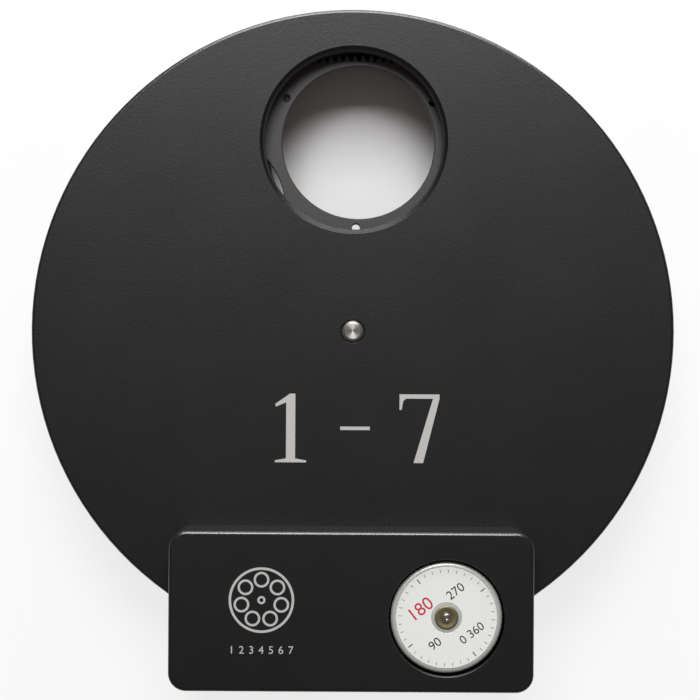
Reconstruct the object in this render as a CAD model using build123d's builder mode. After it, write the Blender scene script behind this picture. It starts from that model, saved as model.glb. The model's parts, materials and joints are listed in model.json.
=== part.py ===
"""Motorised optical filter wheel with seven round filter seats.

The wheel lies on its rear (camera side) face.  +Z points to the telescope side, +Y from the carousel's axle
to the light path, and the motor and its electronics sit in a low box towards -Y.  The origin is on the
carousel's axis at the rear face.  Lengths are millimetres, angles degrees.
"""
import os
from math import acos, ceil, cos, degrees, hypot, pi, radians, sin, sqrt, tan

from build123d import *

os.makedirs("parts", exist_ok=True)

# ---------------------------------------------------------------- driving dimensions
# Housing
chamber_gap = 4.68          # carousel's teeth to the chamber's wall
light_path = 20.0           # rear face to front face, the length the wheel adds to the optical train
back_cover_thickness = 4.0
front_wall = 4.0
rim_wall = 5.0
edge_chamfer = 0.5          # of the rear edge
edge_round = 0.8            # of the front edges, softened by blasting
junction_fillet = 4.0       # inside corner where the disc runs into the motor box
# Motor box
box_width = 81.6
box_depth = 35.8            # along Y
box_foot = 16.65            # motor's axis to the lowest face of the box
box_rise = 11.5             # above the front face
box_corner = 4.0
box_wall = 1.8
# Light ports, M42 x 0.75
port_radius = 21.0
port_chamfer = 0.7
# Carousel
seats = 7
seat_web = 1.78             # left between two filter pockets
tooth_web = 0.75            # left between a filter pocket and the teeth's roots
filter_radius = 18.0        # of a 36 mm filter
filter_clearance = 0.2      # pocket round a filter
filter_ledge = 0.4          # that a filter's edge rests on
filter_seat_depth = 2.0
filter_chamfer = 0.2
clamp_inset = 1.5           # pocket's edge to its clamp screws
clamp_hole = 0.95           # M2 thread, just under its outer radius
clamp_count = 3
carousel_thickness = 5.0
carousel_gap = 1.0          # front wall to carousel face
park_angle = -1.4           # where the carousel stands, short of its index
# Carousel hub
hub_radius = 9.0
hub_rear_length = 3.0       # below the carousel's rear face
bush_radius = 4.0
bush_flange_radius = 5.5
bush_flange = 0.5
bush_length = 3.8
washer_bore = 2.7
# Gear train
gear_module = 0.6
pinion_teeth = 12
pressure_angle = 20.0
dedendum = 1.25             # in modules
profile_shift = 0.3         # out on the pinion, in on the carousel
tooth_thinning = 0.05       # off each tooth for backlash
carousel_facets = 1         # flats that make a flank, nearly straight on so large a gear
pinion_facets = 3
pinion_face = 6.0
# Axle
axle_radius = 2.5
axle_tip_radius = 2.3
axle_tip_length = 1.4
axle_proud = 0.15           # of the front face
axle_chamfer = 0.5
axle_mouth = 2.65
axle_mouth_chamfer = 0.3
running_clearance = 0.03
end_play = 0.05
# Washers under the hub
slip_thickness = 0.4
spring_height = 0.75
spring_steel = 0.3
spring_radius = 4.8
retainer = 0.8
retainer_radius = 5.0
retainer_pocket = 6.0        # recess for it in the back cover
pocket_floor = 2.2
axle_screw_head = 2.75
axle_screw_head_height = 1.7
axle_screw_length = 8.0
axle_hole_depth = 9.0
thrust_radius = 5.8
# Home magnet
magnet_radius = 1.5
magnet_length = 1.5
magnet_inset = 7.32         # from the carousel's tooth tips
# Stepper motor, 25 mm can
motor_radius = 12.5
motor_length = 12.5
motor_deck = 2.0            # wall left under the motor
motor_flange = 0.8
motor_steel = 0.8
motor_edge = 0.6
motor_clearance = 0.3
motor_screw_length = 2.2    # below the motor's plate
ear_pitch = 32.0
ear_radius = 3.2
ear_angle = 25.0
ear_wall_gap = 0.84         # head of the motor's screw to the side of the box
motor_boss_radius = 5.0
motor_boss = 1.4
motor_bush_radius = 2.7
rear_bush_proud = 0.25
rear_bush_length = 1.8
bush_chamfer = 0.2
shaft_radius = 1.0
shaft_proud = 0.3           # of the rear bush
shaft_chamfer = 0.15
rotor_radius = 6.4
magnet_height = 8.0
coil_inner = 7.0
coil_height = 5.0
label_margin = 1.2          # label's edge to the can's wall
label_bore = 3.25
label_thickness = 0.12
window_gap = 0.5            # round the motor, in the hole it shows through
window_chamfer = 0.2
# Fasteners: shank radius, head radius, countersink angle
m3_radius = 1.5
m25_radius, m25_head, m25_head_height = 1.25, 2.35, 1.4
m2_radius, m2_head, m2_head_height = 1.0, 1.9, 1.2
sink_angle = 90
thread_clearance = 0.02
hole_clearance = 0.15
cover_screw_inset = 3.4     # from the rim
cover_screw_count = 4
cover_screw_length = 9.0
boss_radius = 3.4
foot_screw_x = 24.0
foot_screw_inset = 4.2
box_screw_inset = 4.4
box_screw_length = 10.0
box_boss_radius = 2.9
# Electronics
board_thickness = 1.6
board_motor_gap = 4.8       # board's edge to the motor's can
board_side_gap = 1.5        # board's edge to the box's screw bosses
board_gap = 1.0             # board to the box's low inner wall
board_top_gap = 2.2         # board to the box's high inner wall
standoff = 2.0
standoff_radius = 2.1
board_screw_inset = 2.6
board_screw_length = 5.0
usb_inset = 18.0            # from the board's edge beside the motor
usb_width, usb_height, usb_length = 7.7, 3.9, 9.2
usb_foot = 6.2              # width of the shell's narrow side
usb_shoulder = 0.65         # where the shell starts to narrow, below its middle
usb_shell_wall = 0.35
usb_back = 2.5
usb_tongue_length = 5.0
usb_tongue_width, usb_tongue_thickness = 4.9, 0.9
usb_tongue_lift = 0.4
usb_setback = 0.4
usb_clearance = 0.5
sensor_width, sensor_depth, sensor_height = 4.0, 3.0, 1.5
sensor_lift = 0.6           # above the chamber's ceiling
sensor_room = 0.5
sensor_lead = 2.0
sensor_lead_count = 3
sensor_lead_pitch = 1.27
sensor_wire = 0.4
controller_side, controller_height = 7.0, 1.0
driver_width, driver_length, driver_height = 4.0, 9.8, 1.5
driver_offset = 10.0
connector_width, connector_length, connector_height = 5.0, 8.0, 5.0
connector_inset = 2.2       # from the board's edge beside the motor
lead_count = 4
lead_pitch = 1.3
lead_radius = 0.45
lead_lift = 1.4             # above the board
lead_gap = 0.02             # between a straight lead and the round can

# ---------------------------------------------------------------- worked-out sizes
filter_seat = filter_radius + filter_clearance
filter_bore = filter_seat - filter_ledge
clamp_circle = filter_seat + clamp_inset
seat_circle = (filter_seat + seat_web / 2) / sin(pi / seats)
carousel_root = seat_circle + filter_seat + tooth_web
carousel_teeth = ceil(2 * (carousel_root / gear_module + dedendum + profile_shift))
carousel_tip = gear_module * (carousel_teeth / 2 + 1 - profile_shift)
cavity_radius = carousel_tip + chamber_gap
disc_radius = cavity_radius + rim_wall
ceiling_z = light_path - front_wall
carousel_top = ceiling_z - carousel_gap
carousel_bottom = carousel_top - carousel_thickness
box_top = light_path + box_rise
box_ceiling = box_top - box_wall

centre_distance = gear_module * (carousel_teeth + pinion_teeth) / 2
box_half = box_width / 2
ear_x = ear_pitch / 2 * cos(radians(ear_angle))
ear_y = ear_pitch / 2 * sin(radians(ear_angle))
motor_x = box_half - box_wall - ear_wall_gap - m25_head - ear_x
motor_y = -sqrt(centre_distance**2 - motor_x**2)
motor_direction = -degrees(acos(motor_x / centre_distance))
box_reach = box_foot - motor_y      # carousel's axis to the box's lowest face
box_y = box_depth / 2 - box_reach
motor_window = motor_radius + window_gap
label_radius = motor_radius - label_margin
motor_foot = light_path - motor_deck
motor_rear = motor_foot + motor_length
motor_middle = (motor_foot + motor_flange + motor_rear) / 2
ear_points = [(motor_x + ear_x, motor_y + ear_y), (motor_x - ear_x, motor_y - ear_y)]

hub_bottom = carousel_bottom - hub_rear_length
slip_top = hub_bottom - bush_flange - end_play
slip_bottom = slip_top - slip_thickness
spring_bottom = slip_bottom - spring_height
retainer_bottom = spring_bottom - retainer
axle_bottom = spring_bottom
axle_top = light_path + axle_proud

foot_screw_y = foot_screw_inset - box_reach
cover_screw_circle = disc_radius - cover_screw_inset
cover_screw_angles = [2 * pi * (index + 0.5) / cover_screw_count for index in range(cover_screw_count)]
cover_screw_points = [
    (cover_screw_circle * cos(angle), cover_screw_circle * sin(angle)) for angle in cover_screw_angles
] + [(-foot_screw_x, foot_screw_y), (foot_screw_x, foot_screw_y)]
box_screw_x = box_half - box_screw_inset
box_screw_points = [
    (side * box_screw_x, box_y + end * (box_depth / 2 - box_screw_inset))
    for side in (-1, 1)
    for end in (-1, 1)
]

board_right = motor_x - motor_radius - board_motor_gap
board_left = box_boss_radius + board_side_gap - box_screw_x
board_width = board_right - board_left
board_height = box_depth - 2 * box_wall - board_gap - board_top_gap
board_x = (board_right + board_left) / 2
board_y = box_wall + board_gap + board_height / 2 - box_reach
board_bottom = light_path + standoff
board_top = board_bottom + board_thickness
board_screw_points = [
    (
        board_x + side * (board_width / 2 - board_screw_inset),
        board_y + end * (board_height / 2 - board_screw_inset),
    )
    for side in (-1, 1)
    for end in (-1, 1)
]
usb_x = board_right - usb_inset
usb_z = board_top + usb_height / 2
usb_front = -box_reach + usb_setback
magnet_circle = carousel_tip - magnet_inset
sensor_y = -magnet_circle
sensor_lead_z = ceiling_z + sensor_lift + sensor_height / 2
connector_x = board_right - connector_inset - connector_width / 2
lead_z = board_top + lead_lift

pinion_bottom = carousel_bottom - (pinion_face - carousel_thickness) / 2
shaft_top = motor_rear + rear_bush_proud + shaft_proud

home_angle = 270 + park_angle       # between two seats, opposite the one in the light path
home_point = (
    magnet_circle * cos(radians(home_angle)),
    magnet_circle * sin(radians(home_angle)),
    carousel_top,
)


def involute(angle):
    """Involute function of a pressure angle in radians."""
    return tan(angle) - angle


def half_tooth(radius, teeth, shift):
    """Half the angle, in radians, that a tooth spans at a radius."""
    pitch_radius = gear_module * teeth / 2
    base_radius = pitch_radius * cos(radians(pressure_angle))
    thickness = gear_module * (pi / 2 + 2 * shift * tan(radians(pressure_angle))) - tooth_thinning
    at_radius = acos(min(1, base_radius / radius))
    return thickness / 2 / pitch_radius + involute(radians(pressure_angle)) - involute(at_radius)


def gear_radii(teeth, shift):
    """Root, base and tip radius of a gear with a profile shift."""
    pitch_radius = gear_module * teeth / 2
    root = pitch_radius - (dedendum - shift) * gear_module
    tip = pitch_radius + (1 + shift) * gear_module
    return root, pitch_radius * cos(radians(pressure_angle)), tip


def polar(radius, angle):
    """Point at a radius and an angle in radians."""
    return (radius * cos(angle), radius * sin(angle))


def tooth_gap(teeth, shift, facets):
    """Space between two teeth, centred on the +X axis, its flanks drawn through points of the involute."""
    root, base, tip = gear_radii(teeth, shift)
    start = max(root, base)
    beyond = (tip + gear_module / 4) / cos(pi / teeth)
    radii = [start + (tip - start) * step / facets for step in range(facets + 1)]
    if root < start:
        radii.insert(0, root)

    def flank(radius, side):
        return polar(radius, side * (pi / teeth - half_tooth(max(radius, base), teeth, shift)))

    upper = [flank(radius, 1) for radius in radii] + [polar(beyond, pi / teeth)]
    lower = [(x, -y) for x, y in upper]
    with BuildSketch() as gap:
        with BuildLine():
            Polyline(*reversed(lower), *upper, close=True)
        make_face()
    return gap.sketch


def gear_outline(teeth, shift, facets, gap_angle):
    """Outline of a spur gear with a tooth gap centred at gap_angle."""
    gap = tooth_gap(teeth, shift, facets)
    with BuildSketch() as gear:
        Circle(gear_radii(teeth, shift)[2])
        with PolarLocations(0, teeth, start_angle=gap_angle):
            add(gap, mode=Mode.SUBTRACT)
    return gear.sketch


def housing_outline():
    """Disc joined to the motor box's footprint, with filleted inside corners."""
    with BuildSketch() as outline:
        Circle(disc_radius)
        with Locations((0, box_y)):
            RectangleRounded(box_width, box_depth, box_corner)
        corners = outline.vertices().filter_by(
            lambda v: abs(hypot(v.X, v.Y) - disc_radius) < 0.01 and abs(abs(v.X) - box_half) < 0.01
        )
        fillet(corners, junction_fillet)
    return outline.sketch


def motor_outline(margin=0.0):
    """Round motor plate drawn out to its two ears, with a margin all round."""
    with BuildSketch() as outline:
        with Locations((motor_x, motor_y)):
            Circle(motor_radius + margin)
        with Locations(*ear_points):
            Circle(ear_radius + margin)
        make_hull()
    return outline.sketch


def points_at(points, z=0.0):
    """Locations facing up at XY points."""
    return Locations(*[(x, y, z) for x, y in points])


def points_below(points, z=0.0):
    """Locations facing down at XY points."""
    return Locations(*[Plane(origin=(x, y, z), z_dir=(0, 0, -1)) for x, y in points])


def countersunk_screw(radius, head, length):
    """Screw along +Z with its flat head at the origin."""
    cone = head - radius
    with BuildPart() as screw:
        with BuildSketch(Plane.XZ):
            with BuildLine():
                Polyline((0, 0), (head, 0), (radius, cone), (radius, length), (0, length), close=True)
            make_face()
        revolve(axis=Axis.Z)
    return screw.part


def cap_screw(radius, head, head_height, length):
    """Screw with its head above the origin and its shank along -Z."""
    with BuildPart() as screw:
        Cylinder(head, head_height, align=(Align.CENTER, Align.CENTER, Align.MIN))
        Cylinder(radius, length, align=(Align.CENTER, Align.CENTER, Align.MAX))
    return screw.part


def ring(outer, inner, bottom, height):
    """Flat ring on the carousel's axis."""
    with BuildPart() as washer:
        with BuildSketch(Plane.XY.offset(bottom)):
            Circle(outer)
            Circle(inner, mode=Mode.SUBTRACT)
        extrude(amount=height)
    return washer.part


def keep(builder, label):
    """Label a finished piece and write its STEP file."""
    builder.part.label = label
    export_step(builder.part, f"parts/{label}.step")


footprint = housing_outline()

# ---------------------------------------------------------------- housing
with BuildPart() as front_housing:
    with BuildSketch(Plane.XY.offset(back_cover_thickness)):
        add(footprint)
    extrude(amount=light_path - back_cover_thickness)
    fillet(front_housing.faces().sort_by(Axis.Z)[-1].edges(), edge_round)
    # Carousel chamber, with a boss at each screw and a bay for the pinion
    with BuildSketch(Plane.XY.offset(back_cover_thickness)):
        Circle(cavity_radius)
        with Locations(*cover_screw_points):
            Circle(boss_radius, mode=Mode.SUBTRACT)
        with Locations((motor_x, motor_y)):
            Circle(motor_boss_radius)
    extrude(amount=ceiling_z - back_cover_thickness, mode=Mode.SUBTRACT)
    # Thrust face and bore for the axle
    with BuildSketch(Plane.XY.offset(ceiling_z)):
        Circle(thrust_radius)
    extrude(amount=bush_flange + end_play - carousel_gap)
    with Locations((0, 0, light_path)):
        CounterBoreHole(axle_radius, axle_mouth, axle_tip_length)
    axle_rim = front_housing.edges().filter_by(
        lambda e: e.geom_type == GeomType.CIRCLE and abs(e.radius - axle_mouth) < 0.01
    )
    chamfer(axle_rim.sort_by(Axis.Z)[-1], axle_mouth_chamfer)
    # Telescope port
    with Locations((0, seat_circle, light_path)):
        Hole(port_radius)
    port_mouth = front_housing.edges().filter_by(
        lambda e: e.geom_type == GeomType.CIRCLE and abs(e.radius - port_radius) < 0.01
    )
    chamfer(port_mouth.sort_by(Axis.Z)[-1], port_chamfer)
    # Seat of the motor, and the way through for its boss and pinion
    with BuildSketch(Plane.XY.offset(light_path)):
        add(motor_outline(motor_clearance))
    extrude(amount=-motor_deck, mode=Mode.SUBTRACT)
    with Locations((motor_x, motor_y, motor_foot)):
        Hole(motor_boss_radius + hole_clearance, depth=motor_foot - ceiling_z)
    with points_at(ear_points, motor_foot):
        Hole(m25_radius + thread_clearance, depth=motor_screw_length)
    # Posts for the circuit board
    with BuildSketch(Plane.XY.offset(light_path)):
        with Locations(*board_screw_points):
            Circle(standoff_radius)
    extrude(amount=standoff)
    with points_at(board_screw_points, board_bottom):
        Hole(m2_radius + thread_clearance, depth=board_screw_length - board_thickness)
    # Slot over the carousel's face for the position sensor
    with BuildSketch(Plane.XY.offset(ceiling_z)):
        with Locations((0, sensor_y - sensor_lead / 2)):
            RectangleRounded(
                sensor_width + 2 * sensor_room, sensor_depth + sensor_lead + 2 * sensor_room, sensor_room
            )
    extrude(amount=front_wall, mode=Mode.SUBTRACT)
    # Screw holes of the back cover and of the motor cover
    with points_below(cover_screw_points, back_cover_thickness):
        Hole(m25_radius + thread_clearance, depth=cover_screw_length - back_cover_thickness)
    with BuildSketch(Plane.XY.offset(back_cover_thickness)):
        with Locations(*box_screw_points):
            Circle(m25_head + hole_clearance)
    extrude(amount=ceiling_z - back_cover_thickness, mode=Mode.SUBTRACT)
    with points_below(box_screw_points, ceiling_z):
        CounterSinkHole(
            m25_radius + hole_clearance, m25_head, depth=front_wall, counter_sink_angle=sink_angle
        )
keep(front_housing, "front_housing")

with BuildPart() as back_cover:
    with BuildSketch():
        add(footprint)
    extrude(amount=back_cover_thickness)
    chamfer(back_cover.faces().sort_by(Axis.Z)[0].edges(), edge_chamfer)
    with Locations((0, seat_circle, back_cover_thickness)):
        Hole(port_radius)
    camera_mouth = back_cover.edges().filter_by(
        lambda e: e.geom_type == GeomType.CIRCLE and abs(e.radius - port_radius) < 0.01
    )
    chamfer(camera_mouth.sort_by(Axis.Z)[0], port_chamfer)
    # Room for the retaining washer and its screw
    with Locations((0, 0, back_cover_thickness)):
        Hole(retainer_pocket, depth=back_cover_thickness - pocket_floor)
    with points_below(cover_screw_points):
        CounterSinkHole(
            m25_radius + hole_clearance, m25_head, depth=back_cover_thickness, counter_sink_angle=sink_angle
        )
keep(back_cover, "back_cover")

cover_screw = countersunk_screw(m25_radius, m25_head, cover_screw_length)
with BuildPart() as cover_screws:
    with points_at(cover_screw_points):
        add(cover_screw)
keep(cover_screws, "cover_screws")

# ---------------------------------------------------------------- motor box
with BuildPart() as motor_cover:
    with BuildSketch(Plane.XY.offset(light_path)):
        with Locations((0, box_y)):
            RectangleRounded(box_width, box_depth, box_corner)
    extrude(amount=box_rise)
    fillet(motor_cover.faces().sort_by(Axis.Z)[-1].edges(), edge_round)
    with BuildSketch(Plane.XY.offset(light_path)):
        with Locations((0, box_y)):
            RectangleRounded(box_width - 2 * box_wall, box_depth - 2 * box_wall, box_corner - box_wall)
        with Locations(*box_screw_points):
            Circle(box_boss_radius, mode=Mode.SUBTRACT)
    extrude(amount=box_ceiling - light_path, mode=Mode.SUBTRACT)
    with Locations((motor_x, motor_y, box_top)):
        Hole(motor_window, depth=box_wall)
    window_rim = motor_cover.edges().filter_by(
        lambda e: e.geom_type == GeomType.CIRCLE and abs(e.radius - motor_window) < 0.01
    )
    chamfer(window_rim.sort_by(Axis.Z)[-1], window_chamfer)
    with points_below(box_screw_points, light_path):
        Hole(m25_radius + thread_clearance, depth=box_screw_length - front_wall)
    with BuildSketch(Plane.XZ.offset(box_reach)):
        with Locations((usb_x, usb_z)):
            RectangleRounded(usb_width + 2 * usb_clearance, usb_height + 2 * usb_clearance, usb_clearance)
    extrude(amount=-box_wall, mode=Mode.SUBTRACT)
keep(motor_cover, "motor_cover")

box_screw = countersunk_screw(m25_radius, m25_head, box_screw_length)
with BuildPart() as motor_cover_screws:
    with points_at(box_screw_points, ceiling_z):
        add(box_screw)
keep(motor_cover_screws, "motor_cover_screws")

# ---------------------------------------------------------------- axle and its stack
with BuildPart() as axle:
    with BuildSketch(Plane.XZ):
        with BuildLine():
            Polyline(
                (0, axle_bottom + axle_hole_depth),
                (m3_radius + thread_clearance, axle_bottom + axle_hole_depth),
                (m3_radius + thread_clearance, axle_bottom),
                (axle_radius, axle_bottom),
                (axle_radius, light_path - axle_tip_length),
                (axle_tip_radius, light_path - axle_tip_length),
                (axle_tip_radius, axle_top - axle_chamfer),
                (axle_tip_radius - axle_chamfer, axle_top),
                (0, axle_top),
                close=True,
            )
        make_face()
    revolve(axis=Axis.Z)
keep(axle, "axle")

with BuildPart() as slip_washer:
    add(ring(bush_flange_radius, washer_bore, slip_bottom, slip_thickness))
keep(slip_washer, "slip_washer")

with BuildPart() as spring_washer:
    with BuildSketch(Plane.XZ):
        with BuildLine():
            Polyline(
                (washer_bore, slip_bottom),
                (washer_bore, slip_bottom - spring_steel),
                (spring_radius, spring_bottom),
                (spring_radius, spring_bottom + spring_steel),
                close=True,
            )
        make_face()
    revolve(axis=Axis.Z)
keep(spring_washer, "spring_washer")

with BuildPart() as retaining_washer:
    add(ring(retainer_radius, m3_radius + hole_clearance, retainer_bottom, retainer))
keep(retaining_washer, "retaining_washer")

with BuildPart() as axle_screw:
    with Locations(Plane(origin=(0, 0, retainer_bottom), z_dir=(0, 0, -1))):
        add(cap_screw(m3_radius, axle_screw_head, axle_screw_head_height, axle_screw_length))
keep(axle_screw, "axle_screw")

# ---------------------------------------------------------------- carousel
with BuildPart() as carousel:
    with BuildSketch(Plane.XY.offset(carousel_bottom)):
        Circle(gear_radii(carousel_teeth, -profile_shift)[2])
    extrude(amount=carousel_thickness)
    with BuildSketch(Plane.XY.offset(hub_bottom)):
        Circle(hub_radius)
    extrude(amount=hub_rear_length)
    with Locations((0, 0, carousel_top)):
        Hole(bush_radius)
    with BuildSketch(Plane.XY.offset(carousel_bottom)):
        with PolarLocations(seat_circle, seats, start_angle=90 + park_angle):
            Circle(filter_bore)
            with PolarLocations(clamp_circle, clamp_count, start_angle=180):
                Circle(clamp_hole)
    extrude(amount=carousel_thickness, mode=Mode.SUBTRACT)
    mouths = carousel.faces().sort_by(Axis.Z)[-1].edges().filter_by(GeomType.CIRCLE)
    chamfer(mouths.filter_by(lambda e: abs(e.radius - filter_bore) < 0.01), filter_chamfer)
    with BuildSketch(Plane.XY.offset(carousel_bottom)):
        with PolarLocations(seat_circle, seats, start_angle=90 + park_angle):
            Circle(filter_seat)
    extrude(amount=filter_seat_depth, mode=Mode.SUBTRACT)
    with Locations(home_point):
        Hole(magnet_radius, depth=magnet_length)
    # Teeth round the rim, cut last because every later cut would cross a thousand faces
    with BuildSketch(Plane.XY.offset(hub_bottom)):
        add(gear_outline(carousel_teeth, -profile_shift, carousel_facets, motor_direction))
    extrude(amount=carousel_top - hub_bottom, mode=Mode.INTERSECT)
keep(carousel, "carousel")

with BuildPart() as home_magnet:
    with Locations(home_point):
        Cylinder(magnet_radius, magnet_length, align=(Align.CENTER, Align.CENTER, Align.MAX))
keep(home_magnet, "home_magnet")

bush_bore = axle_radius + running_clearance
with BuildPart() as front_bush:
    add(ring(bush_radius, bush_bore, carousel_top - bush_length, bush_length))
    add(ring(bush_flange_radius, bush_bore, carousel_top, bush_flange))
keep(front_bush, "front_bush")

with BuildPart() as rear_bush:
    add(ring(bush_radius, bush_bore, hub_bottom, bush_length))
    add(ring(bush_flange_radius, bush_bore, hub_bottom - bush_flange, bush_flange))
keep(rear_bush, "rear_bush")

# ---------------------------------------------------------------- stepper motor
with BuildPart() as motor_plate:
    with BuildSketch(Plane.XY.offset(motor_foot)):
        add(motor_outline())
        with Locations(*ear_points):
            Circle(m3_radius, mode=Mode.SUBTRACT)
    extrude(amount=motor_flange)
    with BuildSketch(Plane.XY.offset(motor_foot)):
        with Locations((motor_x, motor_y)):
            Circle(motor_boss_radius)
    extrude(amount=-motor_boss)
    with Locations((motor_x, motor_y, motor_foot + motor_flange)):
        Hole(motor_bush_radius)
keep(motor_plate, "motor_plate")

with BuildPart() as motor_can:
    with BuildSketch(Plane.XY.offset(motor_foot + motor_flange)):
        with Locations((motor_x, motor_y)):
            Circle(motor_radius)
    extrude(amount=motor_length - motor_flange)
    chamfer(motor_can.faces().sort_by(Axis.Z)[-1].edges(), motor_edge)
    with BuildSketch(Plane.XY.offset(motor_foot + motor_flange)):
        with Locations((motor_x, motor_y)):
            Circle(motor_radius - motor_steel)
    extrude(amount=motor_length - motor_flange - motor_steel, mode=Mode.SUBTRACT)
    with Locations((motor_x, motor_y, motor_rear)):
        Hole(motor_bush_radius, depth=motor_steel)
keep(motor_can, "motor_can")

with BuildPart() as motor_rear_bush:
    with BuildSketch(Plane.XY.offset(motor_rear + rear_bush_proud)):
        with Locations((motor_x, motor_y)):
            Circle(motor_bush_radius)
            Circle(shaft_radius + running_clearance, mode=Mode.SUBTRACT)
    extrude(amount=-rear_bush_length)
    rim = motor_rear_bush.edges().filter_by(
        lambda e: e.geom_type == GeomType.CIRCLE and e.arc_center.Z > motor_rear
    )
    chamfer(rim.sort_by(SortBy.RADIUS)[-1], bush_chamfer)
keep(motor_rear_bush, "motor_rear_bush")

with BuildPart() as motor_front_bush:
    with BuildSketch(Plane.XY.offset(motor_foot - motor_boss)):
        with Locations((motor_x, motor_y)):
            Circle(motor_bush_radius)
            Circle(shaft_radius + running_clearance, mode=Mode.SUBTRACT)
    extrude(amount=motor_boss + motor_flange)
keep(motor_front_bush, "motor_front_bush")

with BuildPart() as motor_label:
    with BuildSketch(Plane.XY.offset(motor_rear)):
        with Locations((motor_x, motor_y)):
            Circle(label_radius)
            Circle(label_bore, mode=Mode.SUBTRACT)
    extrude(amount=label_thickness)
keep(motor_label, "motor_label")

with BuildPart() as motor_coils:
    for coil_bottom in (motor_foot + motor_flange, motor_rear - motor_steel - coil_height):
        with BuildSketch(Plane.XY.offset(coil_bottom)):
            with Locations((motor_x, motor_y)):
                Circle(motor_radius - motor_steel)
                Circle(coil_inner, mode=Mode.SUBTRACT)
        extrude(amount=coil_height)
keep(motor_coils, "motor_coils")

with BuildPart() as rotor_magnet:
    with BuildSketch(Plane.XY.offset(motor_middle - magnet_height / 2)):
        with Locations((motor_x, motor_y)):
            Circle(rotor_radius)
            Circle(shaft_radius, mode=Mode.SUBTRACT)
    extrude(amount=magnet_height)
keep(rotor_magnet, "rotor_magnet")

with BuildPart() as motor_shaft:
    with BuildSketch(Plane.XY.offset(pinion_bottom)):
        with Locations((motor_x, motor_y)):
            Circle(shaft_radius)
    extrude(amount=shaft_top - pinion_bottom)
    chamfer(motor_shaft.faces().sort_by(Axis.Z)[-1].edges(), shaft_chamfer)
keep(motor_shaft, "motor_shaft")

with BuildPart() as pinion:
    with BuildSketch(Plane.XY.offset(pinion_bottom)):
        with Locations((motor_x, motor_y)):
            add(
                gear_outline(
                    pinion_teeth, profile_shift, pinion_facets, motor_direction + 180 / pinion_teeth
                )
            )
            Circle(shaft_radius, mode=Mode.SUBTRACT)
    extrude(amount=pinion_face)
keep(pinion, "pinion")

motor_screw = cap_screw(m25_radius, m25_head, m25_head_height, motor_flange + motor_screw_length)
with BuildPart() as motor_screws:
    with points_at(ear_points, motor_foot + motor_flange):
        add(motor_screw)
keep(motor_screws, "motor_screws")

# ---------------------------------------------------------------- electronics
with BuildPart() as circuit_board:
    with BuildSketch(Plane.XY.offset(board_bottom)):
        with Locations((board_x, board_y)):
            Rectangle(board_width, board_height)
        with Locations(*board_screw_points):
            Circle(m2_radius + hole_clearance, mode=Mode.SUBTRACT)
    extrude(amount=board_thickness)
keep(circuit_board, "circuit_board")

board_screw = cap_screw(m2_radius, m2_head, m2_head_height, board_screw_length)
with BuildPart() as board_screws:
    with points_at(board_screw_points, board_top):
        add(board_screw)
keep(board_screws, "board_screws")

with BuildPart() as controller_chip:
    with BuildSketch(Plane.XY.offset(board_top)):
        with Locations((usb_x, board_y + controller_side / 2)):
            Rectangle(controller_side, controller_side)
    extrude(amount=controller_height)
keep(controller_chip, "controller_chip")

with BuildPart() as driver_chip:
    with BuildSketch(Plane.XY.offset(board_top)):
        with Locations((board_x - driver_offset, board_y)):
            Rectangle(driver_width, driver_length)
    extrude(amount=driver_height)
keep(driver_chip, "driver_chip")

with BuildPart() as lead_connector:
    with BuildSketch(Plane.XY.offset(board_top)):
        with Locations((connector_x, motor_y)):
            Rectangle(connector_width, connector_length)
    extrude(amount=connector_height)
keep(lead_connector, "lead_connector")

with BuildPart() as position_sensor:
    with BuildSketch(Plane.XY.offset(ceiling_z + sensor_lift)):
        with Locations((0, sensor_y)):
            Rectangle(sensor_width, sensor_depth)
    extrude(amount=sensor_height)
    with BuildSketch(Plane.XY.offset(sensor_lead_z)):
        with Locations((0, sensor_y - sensor_depth / 2 - sensor_lead / 2)):
            with GridLocations(sensor_lead_pitch, 0, sensor_lead_count, 1):
                Rectangle(sensor_wire, sensor_lead)
    extrude(amount=sensor_wire)
    with BuildSketch(Plane.XY.offset(sensor_lead_z)):
        with Locations((0, sensor_y - sensor_depth / 2 - sensor_lead + sensor_wire / 2)):
            with GridLocations(sensor_lead_pitch, 0, sensor_lead_count, 1):
                Rectangle(sensor_wire, sensor_wire)
    extrude(amount=board_bottom - sensor_lead_z)
keep(position_sensor, "position_sensor")

with BuildPart() as motor_leads:
    for lead in range(lead_count):
        offset_y = (lead - (lead_count - 1) / 2) * lead_pitch
        can_x = motor_x - sqrt(motor_radius**2 - offset_y**2) - lead_gap
        plug_x = connector_x + connector_width / 2
        with BuildSketch(Plane.YZ.offset(plug_x)):
            with Locations((motor_y + offset_y, lead_z)):
                Circle(lead_radius)
        extrude(amount=can_x - plug_x)
keep(motor_leads, "motor_leads")

with BuildPart() as usb_shell:
    with BuildSketch(Plane.XZ.offset(-usb_front)):
        with Locations((usb_x, usb_z)):
            Polygon(
                (-usb_foot / 2, -usb_height / 2),
                (usb_foot / 2, -usb_height / 2),
                (usb_width / 2, -usb_shoulder),
                (usb_width / 2, usb_height / 2),
                (-usb_width / 2, usb_height / 2),
                (-usb_width / 2, -usb_shoulder),
                align=None,
            )
        offset(amount=-usb_shell_wall, mode=Mode.SUBTRACT)
    extrude(amount=-usb_length)
keep(usb_shell, "usb_shell")

with BuildPart() as usb_tongue:
    with BuildSketch(Plane.XZ.offset(-usb_front - usb_length)):
        with Locations((usb_x, usb_z)):
            Rectangle(usb_foot - 2 * usb_shell_wall, usb_height - 2 * usb_shell_wall)
    extrude(amount=usb_back)
    with BuildSketch(Plane.XZ.offset(-usb_front - usb_length)):
        with Locations((usb_x, usb_z + usb_tongue_lift)):
            Rectangle(usb_tongue_width, usb_tongue_thickness)
    extrude(amount=usb_back + usb_tongue_length)
keep(usb_tongue, "usb_tongue")
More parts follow.
